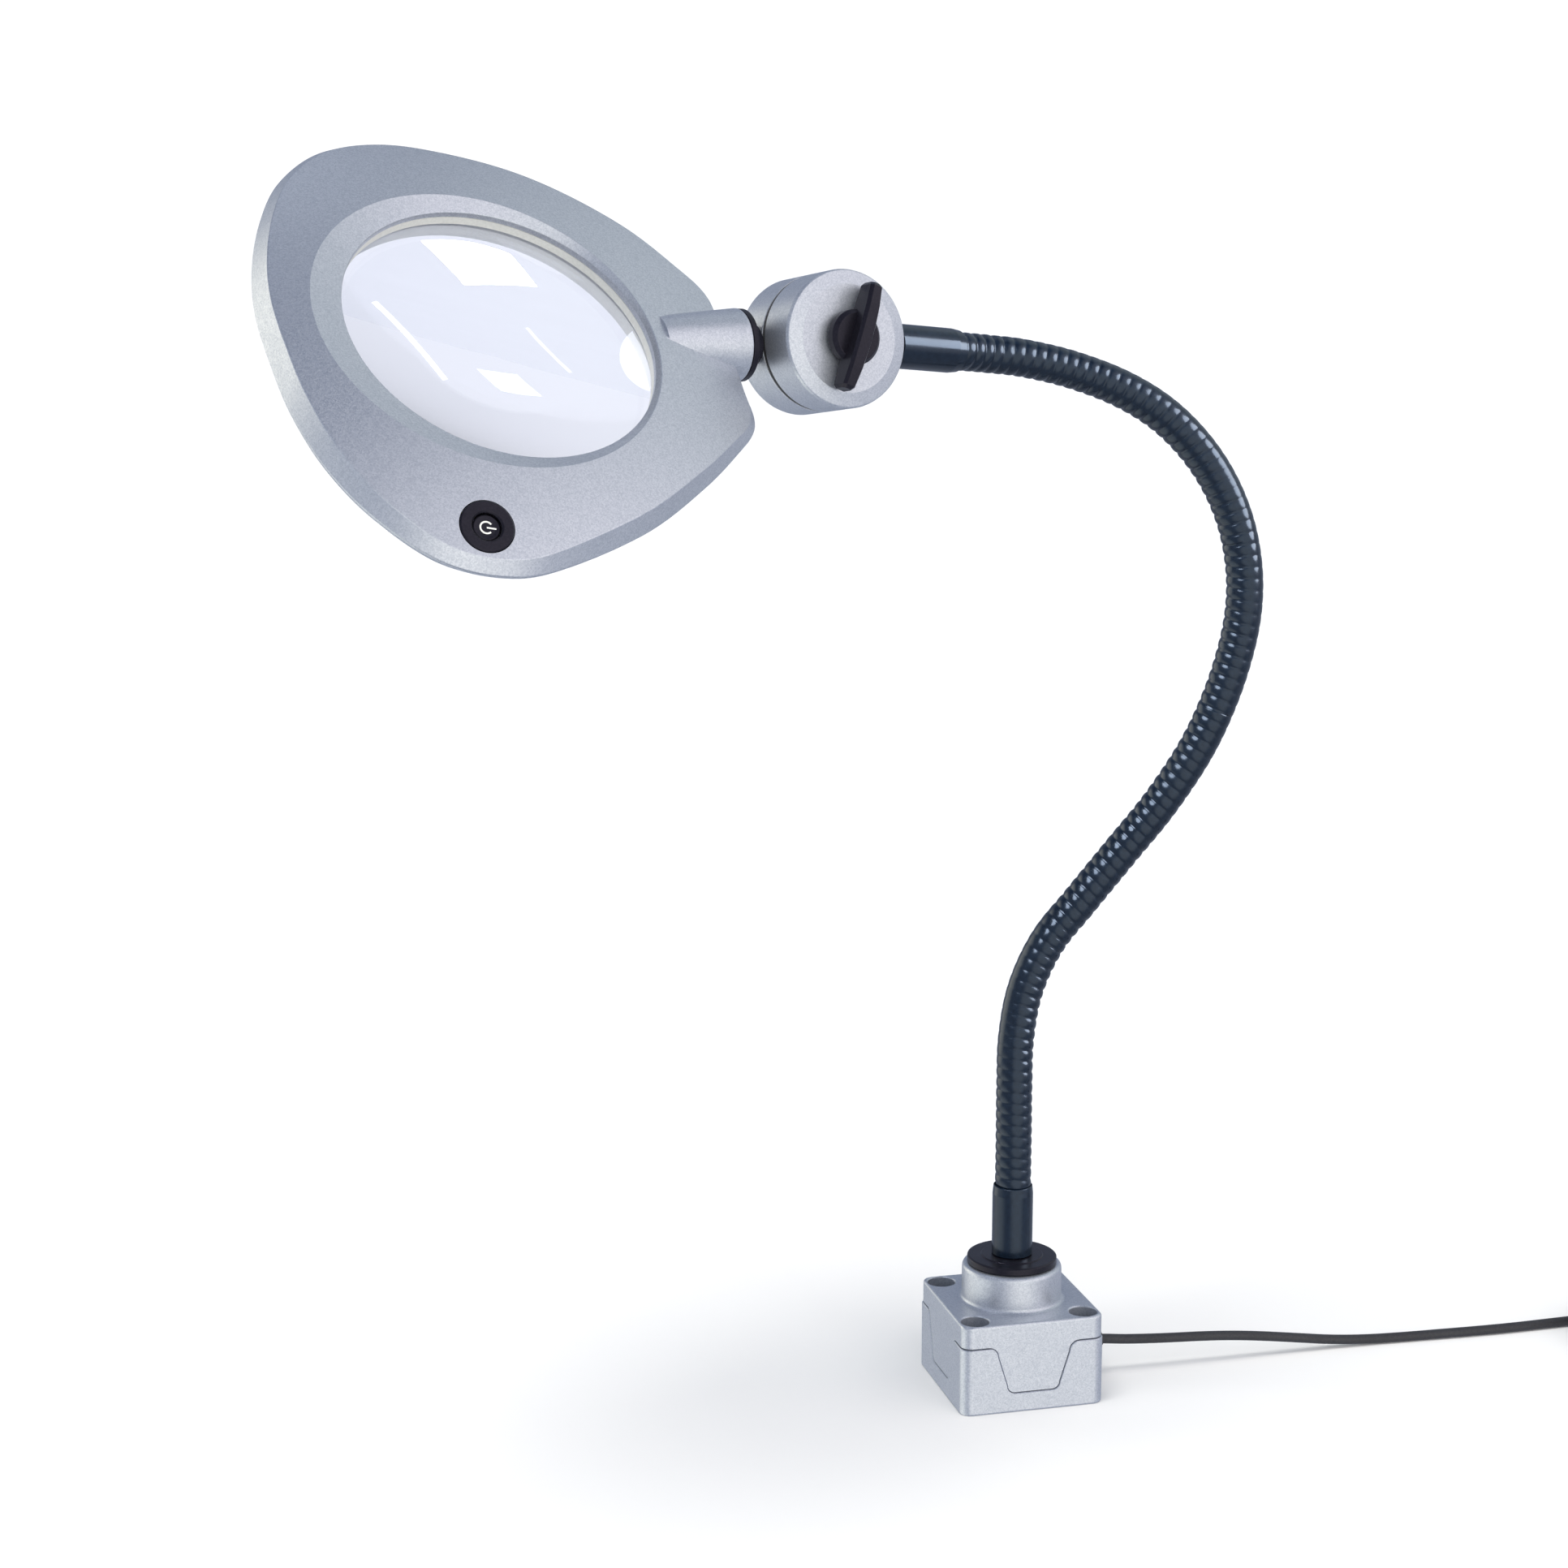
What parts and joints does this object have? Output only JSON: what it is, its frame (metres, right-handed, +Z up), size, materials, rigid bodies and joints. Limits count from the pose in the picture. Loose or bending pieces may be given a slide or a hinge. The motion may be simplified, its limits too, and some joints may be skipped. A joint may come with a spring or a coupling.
{
  "type": "magnifying lamp",
  "caption": "Bench magnifying lamp: lit round lens in a rounded three-cornered head, clamp joint with a wing knob, flexible neck and a small screw-down base with a low-voltage lead.",
  "frame": {"origin": "centre of the base's underside, on the bench", "axes": "+Z up; +X towards the face that the lead leaves; the lens and knob are seen from -Y"},
  "size_m": [0.5863, 0.1436, 0.479],
  "materials": {
    "silver_paint": "satin silver metallic paint with a fine flake",
    "black_plastic": "satin moulded plastic",
    "neck_sheath": "glossy ribbed sheath",
    "black_rubber": "satin soft plastic",
    "zinc_steel": "bright zinc plate",
    "brass": "turned brass",
    "white_plastic": "satin white plastic",
    "lens_glass": "polished clear glass",
    "frosted_plastic": "frosted, translucent",
    "circuit_board": "green solder mask"
  },
  "bodies": {
    "base": {"base_tray": "silver_paint", "base_cover": "silver_paint", "cover_screw_1": "zinc_steel", "cover_screw_2": "zinc_steel", "cover_screw_3": "zinc_steel", "cover_screw_4": "zinc_steel", "neck_flange": "black_plastic", "neck_root_sleeve": "neck_sheath", "neck_stud": "zinc_steel", "neck_nut": "zinc_steel", "neck_lock_washer": "zinc_steel", "terminal_block": "white_plastic", "strain_relief": "black_rubber", "cord": "black_rubber", "cord_coil": "black_rubber", "plug_body": "black_rubber", "plug_barrel": "zinc_steel", "neck_segment_1": "neck_sheath"},
    "neck_2": {"neck_segment_2": "neck_sheath"},
    "neck_3": {"neck_segment_3": "neck_sheath"},
    "neck_4": {"neck_segment_4": "neck_sheath"},
    "neck_5": {"neck_segment_5": "neck_sheath"},
    "neck_6": {"neck_segment_6": "neck_sheath"},
    "joint_front": {"neck_segment_7": "neck_sheath", "neck_top_sleeve": "neck_sheath", "neck_top_stud": "zinc_steel", "neck_top_nut": "zinc_steel", "drum_front": "silver_paint", "clamp_bolt": "zinc_steel", "knob_washer": "zinc_steel"},
    "knob": {"clamp_knob": "black_plastic", "knob_insert": "brass"},
    "joint_rear": {"drum_rear": "silver_paint", "friction_washer": "black_rubber", "head_stem": "zinc_steel", "swivel_nut": "zinc_steel", "swivel_washer": "zinc_steel"},
    "head": {"head_top_shell": "silver_paint", "head_bottom_cover": "silver_paint", "head_screw_1": "zinc_steel", "head_screw_2": "zinc_steel", "head_screw_3": "zinc_steel", "head_screw_4": "zinc_steel", "lens": "lens_glass", "lens_light_wall": "white_plastic", "lens_gasket": "black_rubber", "lens_retainer": "white_plastic", "led_board": "circuit_board", "diffuser": "frosted_plastic", "swivel_ring": "black_plastic", "switch_bezel": "black_plastic", "driver_board": "circuit_board", "tact_switch": "black_plastic"},
    "button": {"switch_button": "black_plastic"}
  },
  "joints": [
    {"name": "neck_bend_1", "type": "hinge", "parent": "base", "child": "neck_2", "pos_m": [0.00032, 0.00113, 0.12657], "axis": [0.2441, 0.9661, -0.0838], "range_deg": [-30, 30]},
    {"name": "neck_bend_2", "type": "hinge", "parent": "neck_2", "child": "neck_3", "pos_m": [0.02102, 0.0033, 0.18752], "axis": [0.7413, -0.1876, -0.6444], "range_deg": [-30, 30]},
    {"name": "neck_bend_3", "type": "hinge", "parent": "neck_3", "child": "neck_4", "pos_m": [0.06098, -0.0041, 0.23946], "axis": [0.2439, 0.9698, -0.0022], "range_deg": [-30, 30]},
    {"name": "neck_bend_4", "type": "hinge", "parent": "neck_4", "child": "neck_5", "pos_m": [0.08477, -0.00914, 0.30029], "axis": [0.9581, -0.2424, -0.1526], "range_deg": [-30, 30]},
    {"name": "neck_bend_5", "type": "hinge", "parent": "neck_5", "child": "neck_6", "pos_m": [0.07117, -0.00413, 0.36299], "axis": [0.2481, 0.9687, -0.0041], "range_deg": [-30, 30]},
    {"name": "neck_bend_6", "type": "hinge", "parent": "neck_6", "child": "joint_front", "pos_m": [0.01774, 0.00343, 0.39837], "axis": [0.2767, -0.07, 0.9584], "range_deg": [-30, 30]},
    {"name": "knob_turn", "type": "hinge", "parent": "joint_front", "child": "knob", "pos_m": [-0.0806, -0.009, 0.4095], "axis": [0.294, -0.9469, 0.13], "range_deg": [0, 270]},
    {"name": "head_tilt", "type": "hinge", "parent": "joint_front", "child": "joint_rear", "pos_m": [-0.0806, -0.009, 0.4095], "axis": [0.294, -0.9469, 0.13], "range_deg": [-100, 80]},
    {"name": "head_swivel", "type": "hinge", "parent": "joint_rear", "child": "head", "pos_m": [-0.20416, -0.04096, 0.41072], "axis": [0.9555, 0.2946, -0.0157], "range_deg": [-150, 150]},
    {"name": "button_press", "type": "slide", "parent": "head", "child": "button", "axis": [-0.1701, 0.8397, -0.5158], "range_m": [0, 0.0012], "stiffness_N_per_m": 600, "springref_m": -0.0008}
  ]
}
